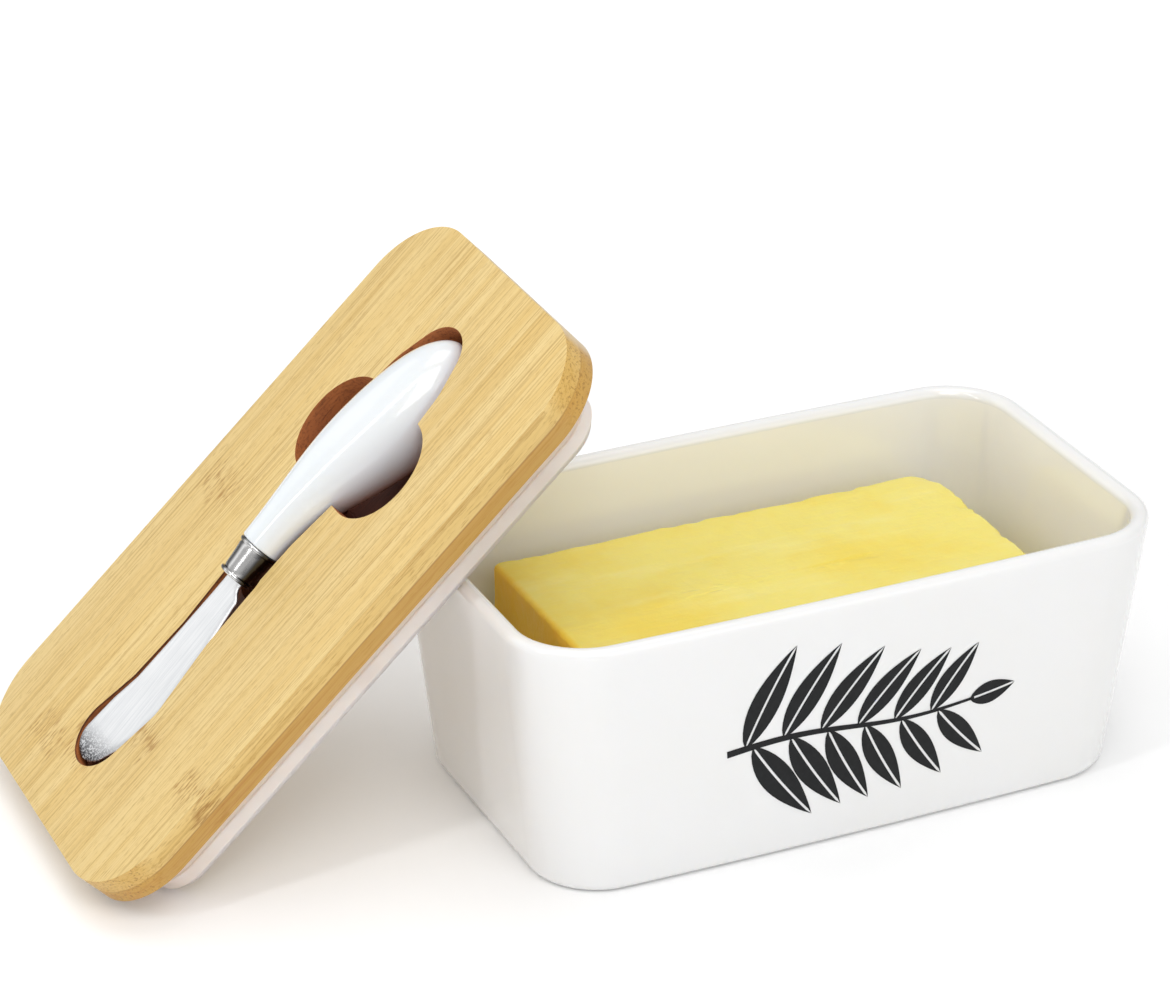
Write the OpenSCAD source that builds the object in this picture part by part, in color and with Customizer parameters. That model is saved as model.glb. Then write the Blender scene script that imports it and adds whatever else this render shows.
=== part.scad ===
// Butter dish: a porcelain tub, a bamboo lid with a silicone seal, and a
// spreader that lies in a recess in the lid. The tub holds a block of butter.
// The lid is off and leans on the left end of the tub.
// Millimetres. X runs along the tub, Y away from its front, Z up.
// The origin is the middle of the tub's underside.

/* [Tub] */
// Length over the rim
tub_l = 170; // [160:1:176]
// Width over the rim, at the middle of the long sides
tub_w = 98; // [94:1:102]
// Height
tub_h = 68; // [62:1:74]
// Corner radius at the rim
tub_r = 20; // [16:1:24]
// Wall thickness
wall = 4.5; // [4:0.5:5]
// Floor thickness
floor_t = 5.5; // [4:0.5:7]
// How far each end leans in at the foot
end_draft = 8; // [6:1:9]
// How far each long side leans in at the foot
side_draft = 5; // [3:1:6]
// Outward bow of each long side
side_bow = 1.3; // [0:0.1:2]
// Rounding of the outer bottom edge
foot_r = 3; // [1:0.5:4]
// Rounding where the inner wall meets the floor
inner_r = 6; // [4:0.5:7]

/* [Lid] */
// Thickness of the board
board_t = 9.5; // [8.5:0.5:11]
// Depth of the underside of the tongue, below the top of the board
lid_t = 22.5; // [21:0.5:24]
// Width of the step from the board's edge to the tongue
tongue_in = 11; // [10:0.5:12]

/* [Seal] */
// Thickness of the sleeve round the tongue
sleeve_t = 1.5; // [1:0.1:2]
// Step from the board's edge to the tip of the sealing fin
fin_in = 5.3; // [5.2:0.1:6]
// Step from the board's edge to the lower band
band_in = 8.9; // [8.5:0.1:9.2]
// Drop from the board's underside to the sealing fin
fin_drop = 2.5; // [2:0.1:3]
// Thickness of the sealing fin
fin_t = 1.2; // [0.8:0.1:1.6]
// Height of the lower band
band_h = 4; // [3:0.1:5]

/* [Leaning lid] */
// How far the middle of the lid lies behind the middle of the tub
lid_y = 34.5; // [30:0.5:38]
// Slope of the lid
lid_tilt = 43.5; // [41:0.5:46]
// Turn of the lid about the vertical
lid_yaw = -1; // [-3:0.5:0]

/* [Recess in the lid] */
// Depth of the channel for the handle
channel_d = 16; // [15.8:0.1:17]
// Depth of the slot for the fingertips
finger_d = 17; // [15:0.5:18]
// Depth of the slot for the blade
slot_d = 4.2; // [4:0.1:5]

/* [Spreader] */
// Length of the handle
handle_l = 67.5; // [64:0.5:68]
// Largest radius of the handle
handle_r = 11.6; // [10.5:0.1:11.7]
// Radius of the handle at the ferrule
neck_r = 5.6; // [5.4:0.1:6]
// Length of the ferrule
ferrule_l = 9.5; // [8:0.5:10]
// Thickness of the blade
blade_t = 1.2; // [1:0.1:1.4]
// Slope of the spreader against the lid's top face
knife_dip = 2.6; // [2.4:0.1:2.7]
// Roll of the spreader about its length, front edge down
knife_roll = 12; // [10:0.5:12.5]

/* [Butter] */
// Length of the block
butter_l = 123.5; // [110:0.5:126]
// Width of the block
butter_w = 72; // [66:1:74]
// Height of the top of the block
butter_top = 50.5; // [40:0.5:52]

/* [Hidden] */

// Gap left between two pieces that touch or slide
gap = 0.05;
// How far a cut runs past the face that it opens
over = 1;
// Steps of one rounded corner, one long side and one end in an outline
corner_steps = 8;
long_steps = 8;
end_steps = 4;
// Steps of a rounded edge
edge_steps = 4;

// Half the wall's thickness: the radius of the rounded rim
lip = wall / 2;
// How much smaller the corner radius is at the foot than at the rim
foot_r_less = 3;
// Least corner radius of any ring of the wall
least_r = 2;

lid_l = tub_l;
lid_w = tub_w;
lid_r = tub_r;
// How far the tongue stands out below the seal
tongue_out = 1.7;
seal_end = lid_t - tongue_out;

// The lid stands on the lower band of its seal and leans on the tub's rim,
// at the back of the tub's left end: lid_z and lid_x follow from that
lid_up = [-sin(lid_tilt) * cos(lid_yaw), -sin(lid_tilt) * sin(lid_yaw), cos(lid_tilt)];
rim_at = [-tub_l / 2 + lip, tub_w / 2 - tub_r, tub_h - lip];
lid_z = (lid_l / 2 - band_in) * sin(lid_tilt) + seal_end * cos(lid_tilt) + gap;
lid_x = rim_at.x + (lid_up.y * (rim_at.y - lid_y) + lid_up.z * (rim_at.z - lid_z)
                    + lid_t + lip + gap) / lid_up.x;

// Finger slot: where it crosses the lid, its radius and its reach to each side
finger_x = 31.3;
finger_r = 14;
finger_reach = 12.5;
// Blade slot: [x, y, radius] of the circles that it is drawn round
slot_discs = [[-59.6, 0.6, 9.6], [-47, -2.2, 9.2], [-28, -0.9, 7.1], [-10, 0.3, 7.6]];
// Handle channel: [x, y, radius] of the circles that it is drawn round
channel_discs = [[-6.5, 0.4, 7.2], [4, 0.4, 7.2], [20, 0.5, 9.2], [42, 0.7, 14.1], [50, 0.7, 12.9],
                 [57.6, 0.7, 10]];

// Where the shoulder of the handle lies in the lid, above its top face
knife_at = [-2, 0.6, 1];
// Where the handle is thickest, as a distance from its shoulder
handle_peak = 42;
// The handle's axis sinks into the lid by handle_drop over its first drop_l
handle_drop = 8;
drop_l = 55;
// Rings along the handle, points round each, and how far the last one stands
// along the handle, as a share of its length
handle_rings = 24;
handle_sides = 32;
handle_last = 0.995;
// Spigot on the handle's shoulder, that the ferrule is slipped over
spigot_r = 2.9;
spigot_l = 6;
spigot_root = 0.5;
// Bore in the handle, filled with cement round the blade's tang
bore_r = 2;
bore_l = 40;
// Ferrule: radius at each end, thickness of its front plate, and its beads
ferrule_r = 4.4;
ferrule_back_r = neck_r - 0.5;
ferrule_plate = 1.2;
bead_r = 0.55;
bead_sunk = 0.1;
// Half widths of the blade where it leaves the ferrule and of the tang
shank_half = 3;
tang_half = 1.5;
tang_l = 34;
// Blade: [x, y, radius] of the circles that it is drawn round
blade_discs = [[-60.4, 1.6, 5.9], [-52, -1, 7.5], [-44, -2.5, 7.2], [-28, -2.1, 5.8],
               [-15, -1.3, 4.4]];

// Butter: where it lies along the tub, bevel round its foot, corner radius
butter_x = 1.75;
butter_foot = 4;
butter_r = 2;

// ---------- outlines and lofts ----------

function blend(a, b, t) = a + (b - a) * t;

// Middle of corner k of a rounded rectangle, counted from +X +Y
function corner_at(l, w, r, k) =
    [(k == 0 || k == 3 ? 1 : -1) * (l / 2 - r), (k < 2 ? 1 : -1) * (w / 2 - r)];

function corner_point(l, w, r, k, t) =
    corner_at(l, w, r, k) + r * [cos(90 * (k + t)), sin(90 * (k + t))];

function side_points(l, w, r, k) =
    let (n = k % 2 == 0 ? long_steps : end_steps)
    [for (i = [1:n - 1])
        blend(corner_point(l, w, r, k, 1), corner_point(l, w, r, (k + 1) % 4, 0), i / n)];

// The long sides are fullest at the middle
function bowed(p, l, w) = [p.x, p.y * (1 - 2 * side_bow / w * pow(2 * p.x / l, 2))];

function outline(l, w, r) =
    [for (k = [0:3])
        for (p = concat([for (s = [0:corner_steps]) corner_point(l, w, r, k, s / corner_steps)],
                        side_points(l, w, r, k)))
            bowed(p, l, w)];

function mean(points) = [for (p = points) 1] * points / len(points);

// Closed solid through rings of points that all have the same count
module skin(rings) {
    n = len(rings[0]);
    last = len(rings) - 1;
    foot = len(rings) * n;
    crown = foot + 1;
    sides = [for (j = [0:last - 1])
                for (i = [0:n - 1])
                    let (a = j * n + i, b = j * n + (i + 1) % n)
                        each [[a, a + n, b], [b, a + n, b + n]]];
    caps = [for (i = [0:n - 1])
                let (j = (i + 1) % n)
                    each [[foot, i, j], [crown, last * n + j, last * n + i]]];
    polyhedron(points = concat([for (g = rings) each g], [mean(rings[0]), mean(rings[last])]),
               faces = concat(sides, caps));
}

function lifted(points, z) = [for (p = points) [p.x, p.y, z]];

// Ring of the tub's wall at height z, a given way in from its outer face
function tub_ring(z, in) =
    let (lean = 1 - z / tub_h)
    lifted(outline(tub_l - 2 * end_draft * lean - 2 * in,
                   tub_w - 2 * side_draft * lean - 2 * in,
                   max(tub_r - foot_r_less * lean - in, least_r)), z);

module rounded_plate(l, w, r) {
    square([l - 2 * r, w], center = true);
    square([l, w - 2 * r], center = true);
    for (k = [0:3]) translate(corner_at(l, w, r, k)) circle(r, $fn = 64);
}

// The lid's outline, a given way in from its edge
module lid_plate(in) rounded_plate(lid_l - 2 * in, lid_w - 2 * in, lid_r - in);

// A slab of the lid between two depths below its top face
module lid_slab(in, from, to) translate([0, 0, -to]) linear_extrude(to - from) lid_plate(in);

module disc(c) translate([c.x, c.y]) circle(c.z, $fn = 64);

// A band drawn round a row of circles, each joined to the next by its tangents
module band(discs)
    for (i = [1:len(discs) - 1]) hull() { disc(discs[i - 1]); disc(discs[i]); }

module on_lid() translate([lid_x, lid_y, lid_z]) rotate([0, -lid_tilt, lid_yaw]) children();

module on_spreader()
    on_lid() translate(knife_at) rotate([0, -knife_dip, 0]) rotate([knife_roll, 0, 0]) children();

// ---------- tub ----------

module tub() {
    foot = [for (s = [0:edge_steps]) let (a = 90 * s / edge_steps)
                tub_ring(foot_r * (1 - cos(a)), foot_r * (1 - sin(a)))];
    rim = [for (s = [0:2 * edge_steps]) let (a = 90 * s / edge_steps)
                tub_ring(tub_h - lip + lip * sin(a), lip * (1 - cos(a)))];
    inside = [for (s = [0:edge_steps]) let (a = 90 * s / edge_steps)
                tub_ring(floor_t + inner_r * (1 - sin(a)), wall + inner_r * (1 - cos(a)))];
    color("white") skin(concat(foot, rim, inside));
}

// ---------- lid ----------

module finger_slot() {
    translate([finger_x, 0]) {
        square([2 * finger_r, 2 * finger_reach], center = true);
        for (s = [-1, 1]) translate([0, s * finger_reach]) circle(finger_r, $fn = 64);
    }
}

// Cuts the shape given as a child into the lid's top face
module pocket(depth) translate([0, 0, -depth]) linear_extrude(depth + over) children();

module lid_board() {
    color("burlywood") on_lid() difference() {
        union() {
            lid_slab(0, 0, board_t);
            lid_slab(tongue_in, board_t, lid_t);
        }
        pocket(slot_d) band(slot_discs);
        pocket(channel_d) band(channel_discs);
        pocket(finger_d) finger_slot();
    }
}

module lid_seal() {
    fin_z = board_t + fin_drop;
    color("mistyrose") on_lid() difference() {
        union() {
            lid_slab(tongue_in - sleeve_t, board_t + gap, seal_end);
            lid_slab(fin_in, fin_z, fin_z + fin_t);
            lid_slab(band_in, seal_end - band_h, seal_end);
        }
        lid_slab(tongue_in - gap, board_t - over, lid_t + over);
    }
}

// ---------- spreader ----------

function handle_radius(x) =
    x < handle_peak
        ? blend(neck_r, handle_r, (1 - cos(180 * x / handle_peak)) / 2)
        : handle_r * sqrt(max(0, 1 - pow((x - handle_peak) / (handle_l - handle_peak), 2)));

function handle_sink(x) = handle_drop * (1 - cos(180 * min(1, x / drop_l))) / 2;

function handle_ring(x, r) =
    let (d = handle_sink(x))
    [for (i = [0:handle_sides - 1]) let (a = 360 * i / handle_sides)
        [x, r * cos(a) - d * sin(knife_roll), r * sin(a) - d * cos(knife_roll)]];

module handle_body() {
    last = handle_last * handle_l;
    skin([for (s = [0:handle_rings]) let (x = last * sin(90 * s / handle_rings))
            handle_ring(x, handle_radius(x))]);
}

module rod(r, from, to)
    translate([from, 0, 0]) rotate([0, 90, 0]) cylinder(r = r, h = to - from, $fn = 48);

module spreader_handle() {
    color("white") on_spreader() difference() {
        union() {
            handle_body();
            rod(spigot_r, -spigot_l, spigot_root);
        }
        rod(bore_r, -spigot_l - over, bore_l);
    }
}

// The tang behind the blade, or the hole for it with a given clearance
module tang(extra) {
    translate([-ferrule_l, -tang_half - extra, -blade_t / 2 - extra])
        cube([ferrule_l + tang_l + extra, 2 * (tang_half + extra), blade_t + 2 * extra]);
}

module handle_cement() {
    color("lightgray") on_spreader() difference() {
        rod(bore_r - gap, -spigot_l, bore_l - gap);
        tang(gap);
    }
}

module spreader_ferrule() {
    color("silver") on_spreader() difference() {
        union() {
            translate([-ferrule_l, 0, 0]) rotate([0, 90, 0])
                cylinder(r1 = ferrule_r, r2 = ferrule_back_r, h = ferrule_l - gap, $fn = 48);
            for (b = [[-ferrule_l + bead_r, ferrule_r], [-bead_r - gap, ferrule_back_r]])
                translate([b.x, 0, 0]) rotate([0, 90, 0]) rotate_extrude($fn = 48)
                    translate([b.y - bead_sunk, 0]) circle(bead_r, $fn = 24);
        }
        rod(spigot_r + gap, -ferrule_l + ferrule_plate, over);
        translate([-ferrule_l - over, -shank_half - gap, -blade_t / 2 - gap])
            cube([ferrule_plate + 2 * over, 2 * (shank_half + gap), blade_t + 2 * gap]);
    }
}

module spreader_blade() {
    blade_end = blade_discs[len(blade_discs) - 1];
    color("gainsboro") on_spreader() {
        translate([0, 0, -blade_t / 2]) linear_extrude(blade_t) {
            band(blade_discs);
            translate([blade_end.x, -shank_half])
                square([-ferrule_l + ferrule_plate - blade_end.x, 2 * shank_half]);
        }
        tang(0);
    }
}

// ---------- butter ----------

module butter_block() {
    foot_z = floor_t + gap;
    color("khaki") translate([butter_x, 0, 0]) skin([
        lifted(outline(butter_l - 2 * butter_foot, butter_w - 2 * butter_foot, butter_r), foot_z),
        lifted(outline(butter_l, butter_w, butter_r), foot_z + butter_foot),
        lifted(outline(butter_l, butter_w, butter_r), butter_top)]);
}

tub();
lid_board();
lid_seal();
spreader_handle();
handle_cement();
spreader_ferrule();
spreader_blade();
butter_block();
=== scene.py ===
"""Butter dish: porcelain tub, bamboo lid with a silicone seal, spreader and butter.

Everything is in metres in the frame of the CAD model. Pieces of the lid are made in the lid's own
axes (x along it, y across it, z out of its top face) and pieces of the spreader in the spreader's.
"""
import math
import random

import bpy
from mathutils import Matrix, Vector, noise


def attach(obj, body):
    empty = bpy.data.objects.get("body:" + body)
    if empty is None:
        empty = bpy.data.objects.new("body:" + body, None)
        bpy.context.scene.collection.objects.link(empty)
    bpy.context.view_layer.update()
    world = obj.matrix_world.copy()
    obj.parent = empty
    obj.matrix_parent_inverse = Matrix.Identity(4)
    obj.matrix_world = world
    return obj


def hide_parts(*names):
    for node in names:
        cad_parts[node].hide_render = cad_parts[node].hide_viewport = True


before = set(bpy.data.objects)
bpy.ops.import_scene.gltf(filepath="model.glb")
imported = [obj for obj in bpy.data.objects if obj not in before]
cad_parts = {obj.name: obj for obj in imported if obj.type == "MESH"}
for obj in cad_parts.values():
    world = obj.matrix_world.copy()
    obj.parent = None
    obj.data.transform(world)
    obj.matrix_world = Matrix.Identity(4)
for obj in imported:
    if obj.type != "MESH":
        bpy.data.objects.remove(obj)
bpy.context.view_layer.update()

MM = 0.001


# ---------------------------------------------------------------- sizes, in millimetres

TUB_L, TUB_W, TUB_H, TUB_R = 170.0, 98.0, 68.0, 20.0
WALL, FLOOR = 4.5, 5.5
END_DRAFT, SIDE_DRAFT, SIDE_BOW, FOOT_R_LESS = 8.0, 5.0, 1.3, 3.0
FOOT_R, INNER_R = 3.0, 6.0
LIP = WALL / 2

BOARD_T, LID_T, TONGUE_IN = 9.5, 22.5, 11.0
SLEEVE_T, FIN_IN, FIN_DROP, FIN_T, BAND_IN, BAND_H, TONGUE_OUT = 1.5, 5.3, 2.5, 1.2, 8.9, 4.0, 1.7
SEAL_END = LID_T - TONGUE_OUT
LID_Y, TILT, YAW = 34.5, math.radians(43.5), math.radians(-1)
GAP = 0.05  # between pieces that touch
SKIRT_T = 0.30  # of the seal, over the tongue's edge

HANDLE_L, HANDLE_R, NECK_R, PEAK = 67.5, 11.6, 5.6, 42.0
HANDLE_DROP, DROP_L, SPIGOT_R = 8.0, 55.0, 2.9
FERRULE_L, FERRULE_R, FERRULE_BACK_R, BEAD_R = 9.5, 4.4, 5.1, 0.55
BLADE_T, SHANK = 1.2, 3.0
DIP, ROLL = math.radians(2.6), math.radians(12)
SPREADER_AT = (-2, 0.6, 1)  # in the lid's axes
BLADE_DISCS = [(-60.4, 1.6, 5.9), (-52, -1, 7.5), (-44, -2.5, 7.2), (-28, -2.1, 5.8),
               (-15, -1.3, 4.4)]
BLADE_END, SHANK_FROM, SHANK_OVER = -8.4, -14, 3.5
BLADE_TIP, THIN_TIP_FROM = -66.3, -64

BUTTER_L, BUTTER_W, BUTTER_TOP, BUTTER_FOOT, BUTTER_X = 123.5, 72.0, 50.5, 5.55, 1.75
BUTTER_R, BUTTER_IN, BUTTER_UNDER_R, NICKS = 1.6, 0.4, 3, 48

SLOT = [(-59.6, 0.6, 9.6), (-47, -2.2, 9.2), (-28, -0.9, 7.1), (-10, 0.3, 7.6)]
CHANNEL = [(-6.5, 0.4, 7.2), (4, 0.4, 7.2), (20, 0.5, 9.2), (42, 0.7, 14.1), (50, 0.7, 12.9),
           (57.6, 0.7, 10)]
SLOT_D, CHANNEL_D, FINGER_D = 4.2, 16.0, 17.0
FINGER_X, FINGER_R, FINGER_REACH = 31.3, 14.0, 12.5

PRINT_LIFT = 0.07
BRANCH_FROM, BRANCH_L, BRANCH_Z, LEAF_PAIRS = -35.5, 66, 32.5, 6


def lid_pose():
    """The lid's axes in the row frame: it stands on its seal and leans on the tub's rim."""
    up = Vector((-math.sin(TILT) * math.cos(YAW), -math.sin(TILT) * math.sin(YAW), math.cos(TILT)))
    rim = Vector((-TUB_L / 2 + LIP, TUB_W / 2 - TUB_R, TUB_H - LIP))
    z = (TUB_L / 2 - BAND_IN) * math.sin(TILT) + SEAL_END * math.cos(TILT) + GAP
    x = rim.x + (up.y * (rim.y - LID_Y) + up.z * (rim.z - z) + LID_T + LIP + GAP) / up.x
    return (Matrix.Translation(Vector((x, LID_Y, z)) * MM)
            @ Matrix.Rotation(YAW, 4, "Z") @ Matrix.Rotation(-TILT, 4, "Y"))


LID = lid_pose()
SPREADER = (LID @ Matrix.Translation(Vector(SPREADER_AT) * MM)
            @ Matrix.Rotation(-DIP, 4, "Y") @ Matrix.Rotation(ROLL, 4, "X"))


# ---------------------------------------------------------------- mesh helpers

def set_in_place(obj, body, pose=None):
    """Keeps the mesh's own axes for the materials, moves it into the row frame, and rides."""
    mesh = obj.data
    own = mesh.attributes.new("own_axes", "FLOAT_VECTOR", "POINT")
    own.data.foreach_set("vector", [c for v in mesh.vertices for c in v.co])
    if pose is not None:
        mesh.transform(pose)
        mesh.update()
    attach(obj, body)


def add_object(name, points, faces, materials, body, pose=None):
    """A smooth mesh object from points in millimetres, riding on a body."""
    mesh = bpy.data.meshes.new(name)
    mesh.from_pydata([tuple(c * MM for c in p) for p in points], [], faces)
    mesh.update()
    for m in materials:
        mesh.materials.append(m)
    mesh.shade_smooth()
    obj = bpy.data.objects.new(name, mesh)
    bpy.context.scene.collection.objects.link(obj)
    set_in_place(obj, body, pose)
    return obj


def loft(rings, closed=False):
    """Points and faces through rings of equal count, with fan caps or joined last to first."""
    n, last = len(rings[0]), len(rings) - 1
    points = [tuple(p) for ring in rings for p in ring]
    faces = []
    for j in range(last):
        for i in range(n):
            a, b = j * n + i, j * n + (i + 1) % n
            faces.append((a, b, b + n, a + n))
    if closed:
        faces += [(last * n + i, last * n + (i + 1) % n, (i + 1) % n, i) for i in range(n)]
        return points, faces
    for j in (0, last):
        points.append(tuple(sum(p[k] for p in rings[j]) / n for k in range(3)))
        c = len(points) - 1
        for i in range(n):
            a, b = j * n + i, j * n + (i + 1) % n
            faces.append((c, b, a) if j == 0 else (c, a, b))
    return points, faces


def apply_modifiers(obj):
    """Replaces the object's mesh by what its modifiers make of it."""
    bpy.context.view_layer.update()
    graph = bpy.context.evaluated_depsgraph_get()
    mesh = bpy.data.meshes.new_from_object(obj.evaluated_get(graph), depsgraph=graph)
    obj.modifiers.clear()
    old = obj.data
    obj.data = mesh
    bpy.data.meshes.remove(old)


def corner_at(l, w, r, k):
    """Centre of corner k's rounding in a rounded rectangle."""
    return ((1 if k in (0, 3) else -1) * (l / 2 - r), (1 if k < 2 else -1) * (w / 2 - r))


def outline(l, w, r, bow=0.0, corner=14, side=20, end=10):
    """Rounded rectangle, counter-clockwise from the +X end, with long sides that bow outwards."""
    found = []
    for k in range(4):
        cx, cy = corner_at(l, w, r, k)
        for s in range(corner + 1):
            a = math.radians(90 * (k + s / corner))
            found.append((cx + r * math.cos(a), cy + r * math.sin(a)))
        nx, ny = corner_at(l, w, r, (k + 1) % 4)
        a = math.radians(90 * (k + 1))
        start = (cx + r * math.cos(a), cy + r * math.sin(a))
        stop = (nx + r * math.cos(a), ny + r * math.sin(a))
        n = side if k % 2 == 0 else end
        for i in range(1, n):
            t = i / n
            found.append(tuple(p + (q - p) * t for p, q in zip(start, stop)))
    return [(x, y * (1 - 2 * bow / w * (2 * x / l) ** 2)) for x, y in found]


# ---------------------------------------------------------------- material helpers

class Nodes:
    """A short way to write a material's node tree."""

    def __init__(self, name, own_axes=True):
        self.material = bpy.data.materials.new(name)
        self.material.use_nodes = True
        self.tree = self.material.node_tree
        self.tree.nodes.clear()
        self.out = self.add("ShaderNodeOutputMaterial")
        self.shader = self.add("ShaderNodeBsdfPrincipled")
        self.link(self.shader.outputs[0], self.out.inputs["Surface"])
        if own_axes:
            own = self.add("ShaderNodeAttribute", attribute_name="own_axes")
            self.place = own.outputs["Vector"]
        else:
            self.place = self.add("ShaderNodeTexCoord").outputs["Object"]

    def add(self, kind, **settings):
        """Adds a node and sets its properties."""
        node = self.tree.nodes.new(kind)
        for key, value in settings.items():
            setattr(node, key, value)
        return node

    def link(self, source, target):
        """Feeds an input from a socket, a number or a colour."""
        if isinstance(source, (int, float)):
            target.default_value = source
        elif isinstance(source, (tuple, list)):
            target.default_value = tuple(source) + ((1,) if len(source) == 3
                                                    and len(target.default_value) == 4 else ())
        else:
            self.tree.links.new(source, target)

    def set(self, **values):
        """Sets the shader's inputs, with _ for a space in their names."""
        for key, value in values.items():
            self.link(value, self.shader.inputs[key.replace("_", " ")])

    def scaled(self, x, y, z, vector=None):
        """A place stretched along each axis."""
        node = self.add("ShaderNodeMapping")
        self.link(self.place if vector is None else vector, node.inputs["Vector"])
        node.inputs["Scale"].default_value = (x, y, z)
        return node.outputs[0]

    def noise(self, vector, scale=1.0, detail=3.0, rough=0.55, distort=0.0):
        """Noise from 0 to 1, about 0.5 on average."""
        node = self.add("ShaderNodeTexNoise")
        self.link(vector, node.inputs["Vector"])
        node.inputs["Scale"].default_value = scale
        node.inputs["Detail"].default_value = detail
        node.inputs["Roughness"].default_value = rough
        node.inputs["Distortion"].default_value = distort
        return node.outputs["Fac"]

    def math(self, operation, a, b=0.0):
        """The result of one operation on two values."""
        node = self.add("ShaderNodeMath", operation=operation)
        for value, target in zip((a, b), node.inputs):
            self.link(value, target)
        return node.outputs[0]

    def ramp(self, value, low, high, to_low=0.0, to_high=1.0, smooth=True):
        """Maps low to high onto to_low to to_high, and holds the ends."""
        node = self.add("ShaderNodeMapRange",
                        interpolation_type="SMOOTHSTEP" if smooth else "LINEAR")
        self.link(value, node.inputs["Value"])
        node.inputs["From Min"].default_value = low
        node.inputs["From Max"].default_value = high
        node.inputs["To Min"].default_value = to_low
        node.inputs["To Max"].default_value = to_high
        return node.outputs[0]

    def mix(self, factor, a, b):
        """Colour a at factor 0, colour b at factor 1."""
        node = self.add("ShaderNodeMix", data_type="RGBA")
        self.link(factor, node.inputs["Factor"])
        self.link(a, [s for s in node.inputs if s.name == "A" and s.type == "RGBA"][0])
        self.link(b, [s for s in node.inputs if s.name == "B" and s.type == "RGBA"][0])
        return [s for s in node.outputs if s.type == "RGBA"][0]

    def axes(self):
        """The place as its x, y and z."""
        node = self.add("ShaderNodeSeparateXYZ")
        self.link(self.place, node.inputs[0])
        return node.outputs

    def bump(self, height, strength, distance):
        """Roughens the surface by a height; distance is in metres."""
        node = self.add("ShaderNodeBump")
        self.link(height, node.inputs["Height"])
        node.inputs["Strength"].default_value = strength
        node.inputs["Distance"].default_value = distance
        self.link(node.outputs[0], self.shader.inputs["Normal"])


def linear(r, g, b):
    """A colour given as it shows on a screen, 0 to 255, as the shader wants it."""
    return tuple((c / 255 / 12.92 if c / 255 <= 0.04045 else ((c / 255 + 0.055) / 1.055) ** 2.4)
                 for c in (r, g, b))


# ---------------------------------------------------------------- materials, sizes in metres

PINHOLE_DEPTH = 0.0875
STRIP_W, STRIP_SHIFT, KNUCKLE_EVERY = 0.0163, 0.2006, 0.21
GLUE_LINE_Z = -0.0052


def porcelain(name, tint, warm):
    """White glaze: faint cloudiness, a slow waviness from firing and a few pinholes."""
    m = Nodes(name)
    cloud = m.noise(m.place, 22, 3)
    m.set(Base_Color=m.mix(m.ramp(cloud, 0.35, 0.7), tint, warm))
    m.set(Roughness=m.ramp(m.noise(m.place, 60, 4), 0.3, 0.75, 0.10, 0.17))
    m.set(Subsurface_Weight=0.12, Subsurface_Radius=(1.0, 0.85, 0.65), Subsurface_Scale=0.0025)
    m.set(Coat_Weight=0.6, Coat_Roughness=0.04, Coat_IOR=1.5)
    wave = m.noise(m.place, 38, 1)
    speck = m.ramp(m.noise(m.place, 950, 1), 0.76, 0.80)
    height = m.math("SUBTRACT", wave, m.math("MULTIPLY", speck, PINHOLE_DEPTH))
    m.bump(height, 0.25, 0.0006)
    return m.material


def unglazed():
    """The tub's dry foot ring: matt, a little grainy."""
    m = Nodes("dry_foot")
    grain = m.noise(m.place, 1800, 3)
    m.set(Base_Color=m.mix(grain, linear(214, 206, 194), linear(232, 226, 216)))
    m.set(Roughness=0.85)
    m.bump(grain, 0.5, 0.0002)
    return m.material


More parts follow.
